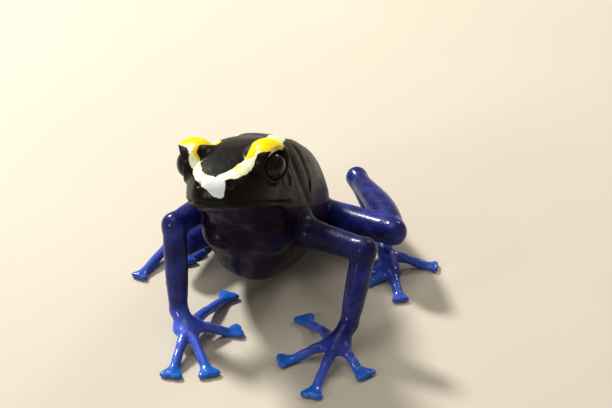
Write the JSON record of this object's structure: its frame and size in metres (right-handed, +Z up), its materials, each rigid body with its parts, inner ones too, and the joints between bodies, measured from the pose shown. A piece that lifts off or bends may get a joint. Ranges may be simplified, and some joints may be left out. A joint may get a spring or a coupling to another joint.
{
  "type": "poison dart frog",
  "caption": "Life-size poison dart frog sitting up on straight forelegs, with black body, yellow-edged head and blue legs.",
  "frame": {"origin": "middle of the footprint, on the floor that the hands and feet rest on", "axes": "+Z up; the frog faces -Y and a little to -X, so +Y points from its snout to its vent; +X is its left side"},
  "size_m": [0.0374, 0.0458, 0.025],
  "materials": {
    "skin_black": "wet, finely granular black-brown skin of the head, with a yellow patch on each eyelid that runs into a white stripe along the snout",
    "skin_body": "wet black back and dark purple belly, with a pale green stripe along each side of the back",
    "skin_navy": "wet, finely granular dark ultramarine skin of the legs",
    "skin_azure": "wet brighter blue skin of the hands, feet and digits",
    "eye": "glossy, almost black eye with a dark brown iris"
  },
  "bodies": {
    "root": {"head": "skin_black", "torso": "skin_body", "eye_l": "eye", "eye_r": "eye", "upper_arm_l": "skin_navy", "forearm_l": "skin_navy", "thigh_l": "skin_navy", "shank_l": "skin_navy", "tarsus_l": "skin_navy", "foot_l": "skin_navy", "hand_l": "skin_azure", "finger_l_1": "skin_azure", "finger_l_2": "skin_azure", "finger_l_3": "skin_azure", "finger_l_4": "skin_azure", "toe_l_1": "skin_azure", "toe_l_2": "skin_azure", "toe_l_3": "skin_azure", "toe_l_4": "skin_azure", "toe_l_5": "skin_azure", "upper_arm_r": "skin_navy", "forearm_r": "skin_navy", "thigh_r": "skin_navy", "shank_r": "skin_navy", "tarsus_r": "skin_navy", "foot_r": "skin_navy", "hand_r": "skin_azure", "finger_r_1": "skin_azure", "finger_r_2": "skin_azure", "finger_r_3": "skin_azure", "finger_r_4": "skin_azure", "toe_r_1": "skin_azure", "toe_r_2": "skin_azure", "toe_r_3": "skin_azure", "toe_r_4": "skin_azure", "toe_r_5": "skin_azure"}
  },
  "joints": []
}
